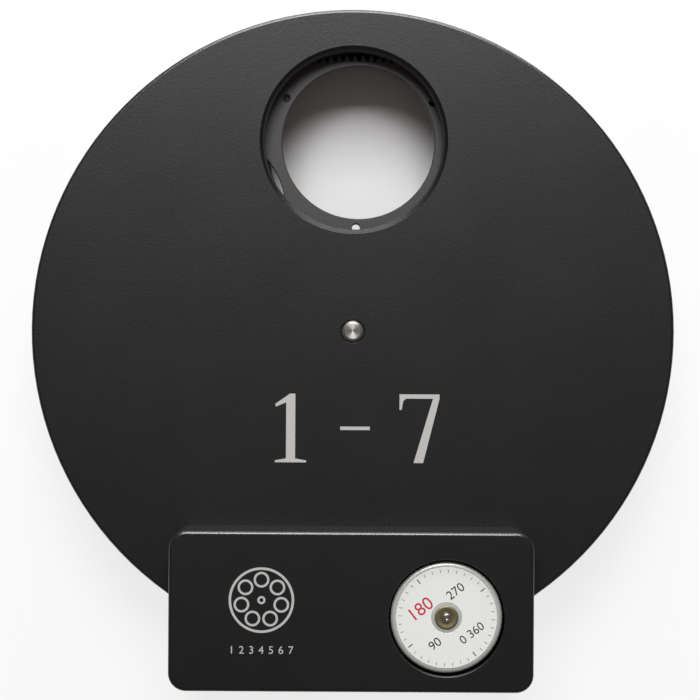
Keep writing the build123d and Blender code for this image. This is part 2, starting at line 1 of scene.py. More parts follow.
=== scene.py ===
"""Looks of a motorised optical filter wheel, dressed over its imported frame.

The file is laid out as an add-on: every piece or group of pieces has an operator, and a panel in the 3D
view's sidebar lists them.
"""

import json
import math

import bpy
from bpy.props import FloatProperty, FloatVectorProperty, PointerProperty
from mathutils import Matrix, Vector


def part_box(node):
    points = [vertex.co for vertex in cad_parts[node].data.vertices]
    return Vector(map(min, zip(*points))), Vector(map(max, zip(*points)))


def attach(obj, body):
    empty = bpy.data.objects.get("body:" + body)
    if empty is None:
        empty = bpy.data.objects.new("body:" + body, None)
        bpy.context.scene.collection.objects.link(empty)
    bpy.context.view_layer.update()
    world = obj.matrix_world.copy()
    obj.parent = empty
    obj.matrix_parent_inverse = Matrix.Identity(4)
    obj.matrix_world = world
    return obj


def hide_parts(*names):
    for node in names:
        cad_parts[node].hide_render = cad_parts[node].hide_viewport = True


bl_info = {
    "name": "Filter Wheel Looks",
    "version": (1, 0, 0),
    "blender": (4, 5, 0),
    "location": "View3D > Sidebar > Filter Wheel",
    "description": "Finishes, markings, small parts, light and camera of a motorised optical filter wheel",
    "category": "Object",
}

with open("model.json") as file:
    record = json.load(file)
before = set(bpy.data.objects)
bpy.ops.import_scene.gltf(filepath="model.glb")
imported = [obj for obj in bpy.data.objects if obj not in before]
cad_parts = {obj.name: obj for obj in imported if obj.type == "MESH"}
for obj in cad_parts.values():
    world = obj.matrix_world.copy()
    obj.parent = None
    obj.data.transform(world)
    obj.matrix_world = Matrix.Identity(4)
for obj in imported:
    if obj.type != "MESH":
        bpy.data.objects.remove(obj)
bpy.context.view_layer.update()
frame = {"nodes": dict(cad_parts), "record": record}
NODES = frame["nodes"]
MM = 0.001

# Places read from the frame
FACE_Z = 20 * MM
COVER_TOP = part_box("motor_cover")[1][2]
CAN_LOW, CAN_HIGH = (Vector(corner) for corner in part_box("motor_can"))
MOTOR = (CAN_LOW + CAN_HIGH) / 2
LABEL_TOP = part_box("motor_label")[1][2]

# Port, in mm: the thread's outer radius and its mouth's chamfer
PORT_RADIUS = 21.0
PORT_CHAMFER = 0.7
PORT_Y = 44 * MM


# ---------------------------------------------------------------- colour and node helpers
def ink(text):
    """An sRGB hex colour as a linear one with alpha."""
    values = [int(text[i : i + 2], 16) / 255 for i in (1, 3, 5)]
    return [v / 12.92 if v <= 0.04045 else ((v + 0.055) / 1.055) ** 2.4 for v in values] + [1.0]


def add_node(tree, kind, settings=None, links=None):
    """A shader node with its properties or socket values set and its inputs linked."""
    node = tree.nodes.new(kind)
    for name, value in (settings or {}).items():
        if name in node.inputs:
            node.inputs[name].default_value = value
        else:
            setattr(node, name, value)
    for name, socket in (links or {}).items():
        tree.links.new(socket, node.inputs[name])
    return node


def new_material(name, **sockets):
    """A material whose shader has the given constant sockets, and its node tree."""
    material = bpy.data.materials.new(name)
    material.use_nodes = True
    shader = material.node_tree.nodes["Principled BSDF"]
    for socket, value in sockets.items():
        shader.inputs[socket.replace("_", " ")].default_value = value
    return material, material.node_tree, shader


def per_mm(size):
    """Noise scale, for coordinates in metres, whose grain is the given size in millimetres."""
    return 1 / (size * MM)


# ---------------------------------------------------------------- finishes
WAVES_PER_UNIT = 20                 # rings that a wave texture of scale 1 draws in a metre


def bead_blasted_black_anodised(name, colour, roughness, grit):
    """Aluminium blasted with glass beads and dyed black: a matt face with a faint even sparkle."""
    polished = 0.2
    material, tree, shader = new_material(name, IOR=1.6, Roughness=roughness)
    place = add_node(tree, "ShaderNodeTexCoord").outputs["Object"]
    beads = add_node(
        tree,
        "ShaderNodeTexNoise",
        {"Scale": per_mm(grit), "Detail": 4.0, "Roughness": 0.7},
        {"Vector": place},
    )
    cloud = add_node(tree, "ShaderNodeTexNoise", {"Scale": per_mm(22), "Detail": 3.0}, {"Vector": place})
    # Dye takes a little unevenly in the beads' dimples, and the gloss varies in clouds a few centimetres wide
    tone = add_node(tree, "ShaderNodeValToRGB", {}, {"Fac": beads.outputs["Fac"]})
    tone.color_ramp.elements[0].position = 0.3
    tone.color_ramp.elements[0].color = [c * 0.72 for c in colour[:3]] + [1.0]
    tone.color_ramp.elements[1].position = 0.72
    tone.color_ramp.elements[1].color = [c * 1.35 for c in colour[:3]] + [1.0]
    tree.links.new(tone.outputs["Color"], shader.inputs["Base Color"])
    matt = add_node(
        tree,
        "ShaderNodeMapRange",
        {"From Min": 0.3, "From Max": 0.7, "To Min": roughness - 0.015, "To Max": roughness + 0.015},
        {"Value": cloud.outputs["Fac"]},
    )
    # Handling polishes the shoulders of the rounded edges, which catch the light as thin bright lines
    surface = add_node(tree, "ShaderNodeNewGeometry")
    facing = add_node(tree, "ShaderNodeSeparateXYZ", {}, {"Vector": surface.outputs["True Normal"]})
    edge = add_node(tree, "ShaderNodeValToRGB", {}, {"Fac": facing.outputs["Z"]})
    edge.color_ramp.elements[0].position = 0.73
    edge.color_ramp.elements[0].color = (0, 0, 0, 1)
    edge.color_ramp.elements[1].position = 0.995
    edge.color_ramp.elements[1].color = (0, 0, 0, 1)
    for position in (0.8, 0.97):
        edge.color_ramp.elements.new(position).color = (1, 1, 1, 1)
    smoother = add_node(
        tree,
        "ShaderNodeMix",
        {"data_type": "FLOAT", "B": polished},
        {"Factor": edge.outputs["Color"], "A": matt.outputs["Result"]},
    )
    tree.links.new(smoother.outputs["Result"], shader.inputs["Roughness"])
    shine = add_node(
        tree, "ShaderNodeMapRange", {"To Min": 0.5, "To Max": 0.75}, {"Value": edge.outputs["Color"]}
    )
    tree.links.new(shine.outputs["Result"], shader.inputs["Specular IOR Level"])
    dimple = add_node(
        tree, "ShaderNodeBump", {"Strength": 0.7, "Distance": 0.045 * MM}, {"Height": beads.outputs["Fac"]}
    )
    tree.links.new(dimple.outputs["Normal"], shader.inputs["Normal"])
    return material


def grained(name, colour, metallic, roughness, grain, depth=0.01, spread=0.2, stretch=(1, 1, 1)):
    """A finish whose colour, gloss and relief vary with one grain of the given size in millimetres."""
    material, tree, shader = new_material(name, Metallic=metallic)
    place = add_node(tree, "ShaderNodeTexCoord").outputs["Object"]
    drawn = add_node(tree, "ShaderNodeMapping", {"Scale": stretch}, {"Vector": place})
    noise = add_node(
        tree,
        "ShaderNodeTexNoise",
        {"Scale": per_mm(grain), "Detail": 5.0, "Roughness": 0.6},
        {"Vector": drawn.outputs["Vector"]},
    )
    tone = add_node(tree, "ShaderNodeValToRGB", {}, {"Fac": noise.outputs["Fac"]})
    tone.color_ramp.elements[0].position = 0.3
    tone.color_ramp.elements[0].color = [c * (1 - spread) for c in colour[:3]] + [1.0]
    tone.color_ramp.elements[1].position = 0.7
    tone.color_ramp.elements[1].color = [min(1.0, c * (1 + spread)) for c in colour[:3]] + [1.0]
    tree.links.new(tone.outputs["Color"], shader.inputs["Base Color"])
    matt = add_node(
        tree,
        "ShaderNodeMapRange",
        {"From Min": 0.3, "From Max": 0.7, "To Min": max(0.02, roughness - 0.06), "To Max": roughness + 0.08},
        {"Value": noise.outputs["Fac"]},
    )
    tree.links.new(matt.outputs["Result"], shader.inputs["Roughness"])
    relief = add_node(
        tree, "ShaderNodeBump", {"Strength": 0.4, "Distance": depth * MM}, {"Height": noise.outputs["Fac"]}
    )
    tree.links.new(relief.outputs["Normal"], shader.inputs["Normal"])
    return material


def turned_steel(name, centre, colour, roughness, groove):
    """Steel faced on a lathe: concentric tool marks that spread highlights into rays."""
    material, tree, shader = new_material(
        name, Metallic=1.0, Roughness=roughness, Anisotropic=0.7, Anisotropic_Rotation=0.25
    )
    place = add_node(tree, "ShaderNodeTexCoord").outputs["Object"]
    centred = add_node(tree, "ShaderNodeMapping", {"Location": (-centre.x, -centre.y, 0)}, {"Vector": place})
    rings = add_node(
        tree,
        "ShaderNodeTexWave",
        {
            "wave_type": "RINGS",
            "rings_direction": "Z",
            "Scale": per_mm(groove) / WAVES_PER_UNIT,
            "Distortion": 0.4,
            "Detail": 2.0,
        },
        {"Vector": centred.outputs["Vector"]},
    )
    tone = add_node(tree, "ShaderNodeValToRGB", {}, {"Fac": rings.outputs["Fac"]})
    tone.color_ramp.elements[0].color = [c * 0.86 for c in colour[:3]] + [1.0]
    tone.color_ramp.elements[1].color = [min(1.0, c * 1.06) for c in colour[:3]] + [1.0]
    tree.links.new(tone.outputs["Color"], shader.inputs["Base Color"])
    around = add_node(tree, "ShaderNodeTangent", {"direction_type": "RADIAL", "axis": "Z"})
    tree.links.new(around.outputs["Tangent"], shader.inputs["Tangent"])
    marks = add_node(
        tree, "ShaderNodeBump", {"Strength": 0.05, "Distance": 0.001 * MM}, {"Height": rings.outputs["Fac"]}
    )
    tree.links.new(marks.outputs["Normal"], shader.inputs["Normal"])
    return material


def white_paper(port, radius):
    """White paper that reads as a white ground, with soft shadows, except under the open port."""
    material, tree, shader = new_material("white_paper", Roughness=0.9)
    shader.inputs["Base Color"].default_value = ink("#fbfbfb")
    shader.inputs["Specular IOR Level"].default_value = 0.0
    place = add_node(tree, "ShaderNodeTexCoord").outputs["Object"]
    away = add_node(tree, "ShaderNodeVectorMath", {"operation": "DISTANCE"}, {0: place})
    away.inputs[1].default_value = port
    # Past the disc's port the paper glows a little for what looks at it, so it stays white beside the shadows
    edge = add_node(
        tree,
        "ShaderNodeMapRange",
        {"From Min": radius, "From Max": radius * 1.3, "To Min": 0.0, "To Max": 0.8},
        {"Value": away.outputs["Value"]},
    )
    ray = add_node(tree, "ShaderNodeLightPath")
    seen, larger, times = ray.outputs["Is Camera Ray"], {"operation": "MAXIMUM"}, {"operation": "MULTIPLY"}
    for kind in ("Is Glossy Ray", "Is Transmission Ray"):
        seen = add_node(tree, "ShaderNodeMath", larger, {0: seen, 1: ray.outputs[kind]}).outputs[0]
    share = add_node(tree, "ShaderNodeMath", times, {0: edge.outputs["Result"], 1: seen})
    glow = add_node(tree, "ShaderNodeEmission", {"Color": ink("#ffffff"), "Strength": 1.0})
    mix = add_node(
        tree,
        "ShaderNodeMixShader",
        {},
        {"Fac": share.outputs[0], 1: shader.outputs["BSDF"], 2: glow.outputs["Emission"]},
    )
    tree.links.new(mix.outputs["Shader"], tree.nodes["Material Output"].inputs["Surface"])
    return material


MATERIALS = {}


def finish(name):
    """The named finish, made when it is first asked for."""
    if name in MATERIALS:
        return MATERIALS[name]
    looks = bpy.context.scene.filter_wheel
    makers = {
        # Bead-blasted and dyed black: matt, with a broad soft sheen
        "black_anodised": lambda: bead_blasted_black_anodised(
            "bead_blasted_black_anodised", list(looks.housing_colour) + [1.0], looks.housing_roughness, 0.45
        ),
        # Milled flat and dyed, so it is a little smoother and greyer than the housing
        "carousel_anodised": lambda: bead_blasted_black_anodised(
            "milled_black_anodised", ink("#3b3a39"), 0.5, 0.3
        ),
        # The thread is cut, not blasted, and is painted a lighter grey than the housing: a painted highlight
        # that brightens the line at the port's mouth
        "thread_painted_highlight": lambda: grained("cut_anodised_painted_highlight", ink("#333233"), 0.0, 0.3, 0.2, 0.004, 0.1),
        "screw_steel": lambda: grained("black_oxide_steel", ink("#1d1d1f"), 0.6, 0.38, 0.3),
        "axle_steel": lambda: grained("ground_stainless_steel", ink("#c4c3bf"), 1.0, 0.24, 0.2, 0.003, 0.06),
        "spring_steel": lambda: grained("hardened_strip_steel", ink("#6e6a64"), 1.0, 0.32, 0.4, 0.004, 0.15),
        "bronze": lambda: grained("sintered_bronze", ink("#958c6d"), 0.8, 0.42, 0.12, 0.012, 0.2),
        "magnet_nickel": lambda: grained("nickel_plate", ink("#c9c4b8"), 1.0, 0.16, 0.5, 0.002, 0.05),
        # Drawn steel with a zinc flash: satin, with faint drawing streaks
        "motor_steel": lambda: grained(
            "zinc_plated_drawn_steel", ink("#d3d8d4"), 0.35, 0.36, 0.35, 0.004, 0.05
        ),
        "label_film": lambda: grained("white_label_film", ink("#f6f9f6"), 0.0, 0.42, 0.8, 0.004, 0.015),
        "coil_copper": lambda: grained(
            "enamelled_copper_wire", ink("#a5562c"), 0.9, 0.3, 0.25, 0.03, 0.2, (0.05, 0.05, 1)
        ),
        "ferrite": lambda: grained("sintered_ferrite", ink("#2c2c2e"), 0.2, 0.55, 0.2, 0.01, 0.25),
        "pinion_brass": lambda: grained("hobbed_brass", ink("#c9a55a"), 1.0, 0.28, 0.2, 0.004, 0.08),
        "lead_pvc": lambda: grained("lead_insulation_pvc", ink("#1f1f21"), 0.0, 0.34, 0.6, 0.003, 0.06),
        "connector_nylon": lambda: grained("moulded_nylon", ink("#e6e1d2"), 0.0, 0.45, 0.5, 0.005, 0.03),
        "board_fr4": lambda: grained("green_solder_mask", ink("#0f5a32"), 0.0, 0.25, 1.2, 0.008, 0.12),
        "chip_epoxy": lambda: grained("moulded_epoxy", ink("#26272a"), 0.0, 0.5, 0.15, 0.006, 0.12),
        "usb_steel": lambda: grained("tinned_steel", ink("#cdccc8"), 1.0, 0.28, 0.6, 0.003, 0.06, (1, 6, 1)),
        "usb_insulator": lambda: grained("glass_filled_nylon", ink("#1b1b1d"), 0.0, 0.5, 0.3, 0.006, 0.15),
        "red_ink": lambda: grained("red_print", ink("#cf2f4b"), 0.0, 0.45, 0.3, 0.002, 0.08),
        "black_ink": lambda: grained("black_print", ink("#26282b"), 0.0, 0.45, 0.3, 0.002, 0.12),
        # Screen printed in one pass, so the blasted ground shows a little through the ink
        "grey_ink": lambda: grained("screen_printed_grey", ink("#c3c3c1"), 0.0, 0.55, 0.35, 0.004, 0.09),
        "gold_plate": lambda: grained("gold_plated_contact", ink("#d8b25a"), 1.0, 0.2, 0.3, 0.002, 0.05),
        "axle_face": lambda: turned_steel(
            "faced_stainless_steel", Vector((0, 0, 0)), ink("#bdbcb4"), 0.5, 0.1
        ),
        "shaft_face": lambda: turned_steel("ground_shaft_end", MOTOR, ink("#c9c2bd"), 0.3, 0.1),
    }
    MATERIALS[name] = makers[name]()
    return MATERIALS[name]


def dress(obj, name):
    """Give an object one finish on all its slots."""
    if not obj.data.materials:
        obj.data.materials.append(finish(name))
    for index in range(len(obj.data.materials)):
        obj.data.materials[index] = finish(name)


# ---------------------------------------------------------------- modelling helpers
def deselect_all():
    """Leave edit mode and select nothing."""
    if bpy.context.object and bpy.context.object.mode != "OBJECT":
        bpy.ops.object.mode_set(mode="OBJECT")
    bpy.ops.object.select_all(action="DESELECT")


def settle(obj, angle=30):
    """Put an object's place into its mesh and smooth it up to an angle in degrees."""
    deselect_all()
    obj.select_set(True)
    bpy.context.view_layer.objects.active = obj
    bpy.ops.object.transform_apply(location=True, rotation=True, scale=True)
    bpy.ops.object.shade_smooth_by_angle(angle=math.radians(angle))
    deselect_all()


def turned(name, centre, profile, steps=128):
    """A solid of revolution: a point is extruded along the half profile, in mm, and spun about +Z."""
    deselect_all()
    first_r, first_z = profile[0]
    bpy.ops.mesh.primitive_plane_add(size=MM, location=(centre.x + first_r * MM, centre.y, first_z * MM))
    obj = bpy.context.object
    obj.name = obj.data.name = name
    bpy.ops.object.transform_apply(location=True, rotation=True, scale=True)
    bpy.ops.object.mode_set(mode="EDIT")
    bpy.ops.mesh.select_all(action="SELECT")
    bpy.ops.mesh.merge(type="CENTER")
    for (r0, z0), (r1, z1) in zip(profile, profile[1:]):
        step = Vector((r1 - r0, 0, z1 - z0)) * MM
        bpy.ops.mesh.extrude_vertices_move(TRANSFORM_OT_translate={"value": step})
    bpy.ops.mesh.select_all(action="SELECT")
    bpy.ops.mesh.spin(steps=steps, angle=math.tau, center=(centre.x, centre.y, 0), axis=(0, 0, 1))
    bpy.ops.mesh.select_all(action="SELECT")
    bpy.ops.mesh.remove_doubles(threshold=1e-7)
    bpy.ops.mesh.normals_make_consistent(inside=False)
    settle(obj)
    return obj


def rounded_corner(r, z, radius, start, end, count=4):
    """Points of a profile's round corner about (r, z), from one angle to another in degrees."""
    angles = [math.radians(start + (end - start) * i / count) for i in range(count + 1)]
    return [(r + radius * math.cos(a), z + radius * math.sin(a)) for a in angles]


CAP_HEIGHT = 0.69                   # of the built-in font, as a share of its size


def lettering(name, text, height, place, angle, thickness):
    """Flat characters of a cap height in mm, centred at a place and turned, as a thin mesh."""
    deselect_all()
    bpy.ops.object.text_add(location=(0, 0, 0))
    obj = bpy.context.object
    obj.data.body = text
    obj.data.size = height * MM / CAP_HEIGHT
    obj.data.align_x = "CENTER"
    obj.data.align_y = "CENTER"
    obj.data.extrude = thickness * MM / 2
    obj.data.resolution_u = 6
    bpy.ops.object.convert(target="MESH")
    obj = bpy.context.object
    obj.name = obj.data.name = name
    obj.rotation_euler = (0, 0, math.radians(angle))
    obj.location = place
    settle(obj)
    return obj


def joined(name, pieces):
    """One object made of several."""
    deselect_all()
    for piece in pieces:
        piece.select_set(True)
    bpy.context.view_layer.objects.active = pieces[0]
    if len(pieces) > 1:
        bpy.ops.object.join()
    obj = bpy.context.object
    obj.name = obj.data.name = name
    deselect_all()
    return obj


def flat_bar(name, corners, z, thickness):
    """A thin plate with straight sides through the given corners in mm."""
    deselect_all()
    first = corners[0]
    bpy.ops.mesh.primitive_plane_add(size=MM, location=(first[0] * MM, first[1] * MM, z))
    obj = bpy.context.object
    obj.name = obj.data.name = name
    bpy.ops.object.transform_apply(location=True, rotation=True, scale=True)
    bpy.ops.object.mode_set(mode="EDIT")
    bpy.ops.mesh.select_all(action="SELECT")
    bpy.ops.mesh.merge(type="CENTER")
    for (x0, y0), (x1, y1) in zip(corners, corners[1:]):
        step = Vector((x1 - x0, y1 - y0, 0)) * MM
        bpy.ops.mesh.extrude_vertices_move(TRANSFORM_OT_translate={"value": step})
    bpy.ops.mesh.select_all(action="SELECT")
    bpy.ops.mesh.edge_face_add()
    bpy.ops.mesh.extrude_region_move(TRANSFORM_OT_translate={"value": (0, 0, thickness * MM)})
    bpy.ops.mesh.select_all(action="SELECT")
    bpy.ops.mesh.normals_make_consistent(inside=False)
    settle(obj)
    return obj


def ride(obj, body, look, replaces=()):
    """Hand a finished piece to its body with its slot and finish."""
    dress(obj, look)
    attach(obj, body)
    if replaces:
        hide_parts(*replaces)


# ---------------------------------------------------------------- settings
class FilterWheelLooks(bpy.types.PropertyGroup):
    """Sizes and colours of the wheel's looks."""

    housing_colour: FloatVectorProperty(
        name="Housing colour",
        description="Colour of the dyed oxide on the housing",
        subtype="COLOR",
        size=3,
        min=0,
        max=1,
        default=ink("#0b0a0b")[:3],
    )
    housing_roughness: FloatProperty(
        name="Housing roughness",
        description="How matt the blasting leaves the housing",
        min=0,
        max=1,
        default=0.40,
    )
    mark_height: FloatProperty(
        name="Mark height", description="Height of the large numerals in mm", min=4, max=30, default=15.8
    )
    thread_pitch: FloatProperty(
        name="Thread pitch", description="Pitch of the port threads in mm", min=0.3, max=1.5, default=0.75
    )
    key_power: FloatProperty(
        name="Key light",
        description="Power of the soft light high beyond the wheel's far side",
        unit="POWER",
        min=0,
        default=12.5,
    )
    window_power: FloatProperty(
        name="Window light",
        description="Power of the low window that draws the far edges",
        unit="POWER",
        min=0,
        default=6.0,
    )


# ---------------------------------------------------------------- operators
class WHEEL_OT_frame_finishes(bpy.types.Operator):
    """Give every solid of the frame the finish of its real material"""

    bl_idname = "filter_wheel.frame_finishes"
    bl_label = "Frame finishes"

    def execute(self, context):
        for part in frame["record"]["subparts"]:
            dress(NODES[part["node"]], part["material_slot"])
        return {"FINISHED"}


class WHEEL_OT_port_threads(bpy.types.Operator):
    """Cut the internal threads of the telescope and camera ports"""

    bl_idname = "filter_wheel.port_threads"
    bl_label = "Port threads"

    def execute(self, context):
        pitch = context.scene.filter_wheel.thread_pitch
        # Sizes in mm of the ridge for a pitch of 0.75
        depth, foot, half_base = 0.4, 0.02, 0.36
        for name, bottom, side, face in (
            ("telescope_port_thread", 16.1, 1, 20.0),
            ("camera_port_thread", 0.18, -1, 0.0),
        ):
            deselect_all()
            bpy.ops.mesh.primitive_circle_add(vertices=3, radius=MM, location=(0, 0, 0))
            thread = bpy.context.object
            thread.name = thread.data.name = name
            # Triangle of the ridge: a base on the bore's wall and a crest towards the axis
            base = PORT_RADIUS + foot
            ridge = ((base, 0.0), (PORT_RADIUS - depth, half_base), (base, 2 * half_base))
            for vertex, (radius, height) in zip(thread.data.vertices, ridge):
                vertex.co = Vector((radius * MM, 0, bottom * MM + height * MM * pitch / 0.75))
            winding = thread.modifiers.new("winding", "SCREW")
            winding.axis = "Z"
            winding.screw_offset = pitch * MM
            winding.iterations = 4
            winding.steps = winding.render_steps = 96
            bpy.ops.object.modifier_apply(modifier="winding")
            # The chamfer at the mouth cuts across the last turn
            for vertex in thread.data.vertices:
                radius = math.hypot(vertex.co.x, vertex.co.y)
                cone = side * face * MM - (PORT_CHAMFER + PORT_RADIUS) * MM + radius
                vertex.co.z = side * min(side * vertex.co.z, cone)
            bpy.ops.object.mode_set(mode="EDIT")
            bpy.ops.mesh.select_all(action="SELECT")
            bpy.ops.mesh.remove_doubles(threshold=1e-7)
            bpy.ops.mesh.dissolve_degenerate(threshold=1e-7)
            bpy.ops.mesh.select_all(action="DESELECT")
            bpy.ops.mesh.select_non_manifold()
            bpy.ops.mesh.edge_face_add()
            bpy.ops.mesh.select_all(action="SELECT")
            bpy.ops.mesh.normals_make_consistent(inside=False)
            bpy.ops.object.mode_set(mode="OBJECT")
            thread.location = (0, PORT_Y, 0)
            settle(thread, 40)
            # The thread's lighter grey finish is a painted highlight along the port's mouth
            ride(thread, "housing", "thread_painted_highlight")
        return {"FINISHED"}


class WHEEL_OT_axle(bpy.types.Operator):
    """Turn the carousel's axle with its faced and chamfered end"""

    bl_idname = "filter_wheel.axle"
    bl_label = "Axle"

    def execute(self, context):
        low, high = (Vector(corner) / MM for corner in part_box("axle"))
        top, bottom = high.z, low.z
        # Screw hole from below, shank, and the step that bears under the front wall
        hole_end, step = bottom + 9.0, FACE_Z / MM - 1.4
        profile = [(0.0, hole_end), (1.52, hole_end), (1.52, bottom), (2.4, bottom), (2.5, bottom + 0.1)]
        profile += [(2.5, step), (2.3, step), (2.3, top - 0.54), (2.27, top - 0.48)]
        # Chamfer, flat face and the pip that the tool leaves at the centre
        profile += [(1.83, top - 0.02), (1.78, top), (1.73, top), (0.15, top), (0.1, top - 0.01)]
        profile += [(0.0, top - 0.02)]
        axle = turned("axle_turned", Vector((0, 0, 0)), profile)
        ride(axle, "housing", "axle_face", ("axle",))
        return {"FINISHED"}


class WHEEL_OT_motor_end(bpy.types.Operator):
    """Shape the motor's rounded can, label, bearing and shaft end"""

    bl_idname = "filter_wheel.motor_end"
    bl_label = "Motor end"

    def execute(self, context):
        low, high = CAN_LOW.z / MM, CAN_HIGH.z / MM
        # Deep-drawn can: a rounded rear edge and a shallow seat for the label
        can_radius, edge = 12.5, 0.95
        profile = [(11.7, low), (can_radius, low)]
        profile += rounded_corner(can_radius - edge, high - edge, edge, 0, 90, 8)
        profile += [(11.4, high - 0.01), (11.36, high - 0.05), (3.9, high - 0.05), (3.5, high - 0.02)]
        profile += [(3.3, high + 0.05), (2.7, high + 0.05), (2.7, high - 0.8), (11.7, high - 0.8)]
        profile += profile[:1]
        can = turned("motor_can_drawn", MOTOR, profile, 160)
        ride(can, "housing", "motor_steel", ("motor_can",))
        # Printed film on the can's end
        label_top = LABEL_TOP / MM
        profile = [(3.45, high - 0.04), (11.27, high - 0.04), (11.3, high), (11.3, label_top - 0.03)]
        profile += [(11.27, label_top), (3.48, label_top), (3.45, label_top - 0.03), (3.45, high - 0.04)]
        label = turned("motor_label_film", MOTOR, profile, 160)
        ride(label, "housing", "label_film", ("motor_label",))
        # Bearing with a countersunk mouth round the shaft
        low, high = (Vector(corner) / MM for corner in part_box("motor_rear_bush"))
        profile = [(1.04, low.z), (2.7, low.z), (2.7, high.z - 0.22), (2.62, high.z - 0.08), (2.45, high.z)]
        profile += [(2.05, high.z), (1.95, high.z - 0.04), (1.6, high.z - 0.04), (1.5, high.z - 0.06)]
        profile += [(1.32, high.z - 0.3), (1.04, high.z - 0.34), (1.04, low.z)]
        bush = turned("motor_bush_turned", MOTOR, profile, 96)
        ride(bush, "housing", "bronze", ("motor_rear_bush",))
        # Shaft with a domed and centred end
        low, high = (Vector(corner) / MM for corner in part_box("motor_shaft"))
        profile = [(0.0, low.z), (0.9, low.z), (1.0, low.z + 0.1), (1.0, high.z - 0.32)]
        dome = 0.32
        profile += rounded_corner(1.0 - dome, high.z - dome, dome, 0, 80, 6)
        profile += [(0.35, high.z), (0.28, high.z - 0.02), (0.0, high.z - 0.22)]
        shaft = turned("motor_shaft_ground", MOTOR, profile, 64)
        ride(shaft, "rotor", "shaft_face", ("motor_shaft",))
        return {"FINISHED"}


class WHEEL_OT_label_print(bpy.types.Operator):
    """Print a plain dial of degrees on the motor's label"""

    bl_idname = "filter_wheel.label_print"
    bl_label = "Label print"

    def execute(self, context):
        film = 0.008                    # of ink, in mm
        z = LABEL_TOP + film / 2 * MM
        slant = 38.0                    # of the print, in degrees
        # Text, place along and across the print, cap height and ink
        rows = (
            ("180", -3.5, 5.0, 2.9, "red"),
            ("270", 5.2, 3.4, 2.0, "black"),
            ("90", -5.6, -3.1, 2.0, "black"),
            ("0 360", 2.4, -6.2, 1.9, "black"),
        )
        groups = {"red": [], "black": []}
        across = Vector((math.cos(math.radians(slant)), math.sin(math.radians(slant)), 0))
        up = Vector((-across.y, across.x, 0))
        for index, (text, along, rise, height, colour) in enumerate(rows):
            place = Vector((MOTOR.x, MOTOR.y, z)) + (across * along + up * rise) * MM
            groups[colour].append(lettering(f"dial_{index}", text, height, place, slant, film))
        for step in range(36):
            long_tick = step % 9 == 0
            inner, outer, half = (9.6 if long_tick else 10.1), 10.8, (0.11 if long_tick else 0.06)
            corners = [(inner, -half), (outer, -half), (outer, half), (inner, half)]
            turn = math.radians(slant + 10 * step)
            spun = [
                (
                    MOTOR.x / MM + x * math.cos(turn) - y * math.sin(turn),
                    MOTOR.y / MM + x * math.sin(turn) + y * math.cos(turn),
                )
                for x, y in corners
            ]
            groups["black"].append(flat_bar(f"tick_{step}", spun, LABEL_TOP, film))
        for colour, pieces in groups.items():
            ride(joined(f"label_dial_{colour}", pieces), "housing", f"{colour}_ink")
        return {"FINISHED"}


class WHEEL_OT_face_marks(bpy.types.Operator):
    """Print the numerals of the filter positions on the round face"""

    bl_idname = "filter_wheel.face_marks"
    bl_label = "Face marks"

    def execute(self, context):
        half = context.scene.filter_wheel.mark_height / 2
        centre = Vector((0.65, -22.4))
        spacing = 14.8
        # Roman figures with thick stems, thin crossbars and bracketed serifs
        one = [(-1.05, -half + 0.9), (-1.05, half - 2.0), (-3.4, half - 3.0), (-3.6, half - 2.4)]
        one += [(-0.2, half), (1.05, half), (1.05, -half + 0.9), (3.6, -half + 0.45), (3.6, -half)]
        one += [(-3.6, -half), (-3.6, -half + 0.45)]
        dash = [(-3.4, -0.4), (3.4, -0.4), (3.4, 0.4), (-3.4, 0.4)]
        seven = [(-4.6, half), (4.6, half), (4.6, half - 1.0), (0.9, -half), (-1.3, -half), (3.1, half - 1.0)]
        seven += [(-3.0, half - 1.0), (-3.7, half - 1.5), (-4.1, half - 3.6), (-4.6, half - 3.6)]
        pieces = []
        for name, outline, shift in (("one", one, -spacing), ("dash", dash, 0.0), ("seven", seven, spacing)):
            corners = [(x + centre.x + shift, y + centre.y) for x, y in outline]
            pieces.append(flat_bar(f"mark_{name}", corners, FACE_Z, 0.02))
        ride(joined("position_marks", pieces), "housing", "grey_ink")
        return {"FINISHED"}


class WHEEL_OT_box_marks(bpy.types.Operator):
    """Print a plain wheel pictogram and the row of position numbers on the motor box"""

    bl_idname = "filter_wheel.box_marks"
    bl_label = "Box marks"

    def execute(self, context):
        film = 0.015                    # of ink, in mm, a third of it sunk into the blasted face
        z = COVER_TOP - film / 3 * MM
        centre = Vector((-20.0 * MM, -60.2 * MM, 0))
        # Radius, line width and place of each ring
        rings = [(7.3, 0.55, Vector((0, 0, 0))), (0.9, 0.45, Vector((0, 0, 0)))]
        for seat in range(7):
            turn = math.radians(90 + 360 / 7 * seat)
            rings.append((1.75, 0.5, Vector((math.cos(turn), math.sin(turn), 0)) * 4.55 * MM))
        pieces = []
        for index, (radius, width, shift) in enumerate(rings):
            inner, low, high = radius - width, z / MM, z / MM + film
            profile = [(inner, low), (radius, low), (radius, high), (inner, high), (inner, low)]
            pieces.append(turned(f"seat_ring_{index}", centre + shift, profile, 64))
        for seat in range(7):
            place = Vector(((-26.6 + 2.2 * seat) * MM, -71.4 * MM, z + film / 2 * MM))
            pieces.append(lettering(f"number_{seat + 1}", str(seat + 1), 1.7, place, 0, film))
        ride(joined("box_marks", pieces), "housing", "grey_ink")
        return {"FINISHED"}


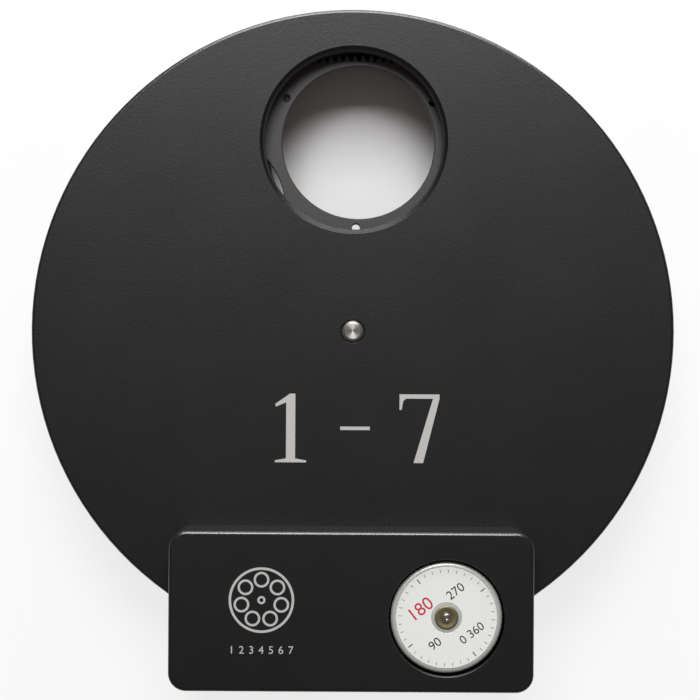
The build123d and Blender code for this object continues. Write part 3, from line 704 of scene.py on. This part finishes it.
class WHEEL_OT_socket_contacts(bpy.types.Operator):
    """Lay the five plated contacts on the data socket's tongue"""

    bl_idname = "filter_wheel.socket_contacts"
    bl_label = "Socket contacts"

    def execute(self, context):
        low, high = (Vector(corner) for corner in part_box("usb_tongue"))
        middle, pitch, count = (low.x + high.x) / 2, 0.8 * MM, 5
        pieces = []
        for index in range(count):
            deselect_all()
            across = middle + (index - (count - 1) / 2) * pitch
            place = (across, low.y + 2.4 * MM, (low.z + high.z) / 2 - 0.1 * MM)
            bpy.ops.mesh.primitive_cube_add(size=MM, location=place, scale=(0.4, 4.2, 0.12))
            bpy.ops.object.transform_apply(location=False, rotation=False, scale=True)
            contact = bpy.context.object
            contact.name = f"contact_{index}"
            edge = contact.modifiers.new("edge", "BEVEL")
            edge.width = 0.05 * MM
            edge.segments = 2
            bpy.ops.object.modifier_apply(modifier="edge")
            settle(contact)
            pieces.append(contact)
        ride(joined("socket_contacts", pieces), "housing", "gold_plate")
        return {"FINISHED"}


class WHEEL_OT_studio(bpy.types.Operator):
    """Set the floor, the light and the camera"""

    bl_idname = "filter_wheel.studio"
    bl_label = "Studio"

    def execute(self, context):
        scene = context.scene
        deselect_all()
        bpy.ops.mesh.primitive_grid_add(x_subdivisions=4, y_subdivisions=4, size=6, location=(0, 0, -0.0002))
        floor = bpy.context.object
        floor.name = "floor"
        floor.data.materials.append(white_paper(Vector((0, PORT_Y, 0)), 22.5 * MM))

        world = bpy.data.worlds.new("studio")
        scene.world = world
        world.use_nodes = True
        ambient = world.node_tree.nodes["Background"]
        ambient.inputs["Color"].default_value = ink("#fff0ec")
        ambient.inputs["Strength"].default_value = 0.13

        looks = scene.filter_wheel
        for name, power, size, place in (
            ("key", looks.key_power, (0.70, 0.62), Vector((-0.04, 0.735, 0.84))),
            ("window", looks.window_power, (1.0, 0.3), Vector((0.05, 0.85, 0.17))),
        ):
            bpy.ops.object.light_add(type="AREA", location=place)
            lamp = bpy.context.object
            lamp.name = name
            lamp.data.shape = "RECTANGLE"
            lamp.data.size, lamp.data.size_y = size
            lamp.data.energy = power
            lamp.rotation_euler = (-place).to_track_quat("-Z", "Y").to_euler()

        bpy.ops.object.camera_add(location=(-0.00061, -0.00439, 0.380), rotation=(0, 0, math.radians(0.35)))
        camera = bpy.context.object
        camera.name = "camera"
        camera.data.sensor_width = 36
        camera.data.lens = 80.5
        camera.data.clip_start = 0.01
        camera.data.dof.use_dof = False
        scene.camera = camera
        scene.view_settings.view_transform = "Standard"
        return {"FINISHED"}


class WHEEL_PT_panel(bpy.types.Panel):
    """Lists the wheel's pieces in the sidebar"""

    bl_idname = "WHEEL_PT_panel"
    bl_label = "Filter Wheel"
    bl_space_type = "VIEW_3D"
    bl_region_type = "UI"
    bl_category = "Filter Wheel"

    def draw(self, context):
        for name in FilterWheelLooks.__annotations__:
            self.layout.prop(context.scene.filter_wheel, name)
        for operator in OPERATORS:
            self.layout.operator(operator.bl_idname)


OPERATORS = (
    WHEEL_OT_frame_finishes,
    WHEEL_OT_port_threads,
    WHEEL_OT_axle,
    WHEEL_OT_motor_end,
    WHEEL_OT_label_print,
    WHEEL_OT_face_marks,
    WHEEL_OT_box_marks,
    WHEEL_OT_socket_contacts,
    WHEEL_OT_studio,
)
CLASSES = (FilterWheelLooks,) + OPERATORS + (WHEEL_PT_panel,)


def register():
    for cls in CLASSES:
        bpy.utils.register_class(cls)
    bpy.types.Scene.filter_wheel = PointerProperty(type=FilterWheelLooks)


def unregister():
    del bpy.types.Scene.filter_wheel
    for cls in reversed(CLASSES):
        bpy.utils.unregister_class(cls)


def main():
    register()
    for operator in OPERATORS:
        group, name = operator.bl_idname.split(".")
        getattr(getattr(bpy.ops, group), name)()


if __name__ == "__main__":
    main()
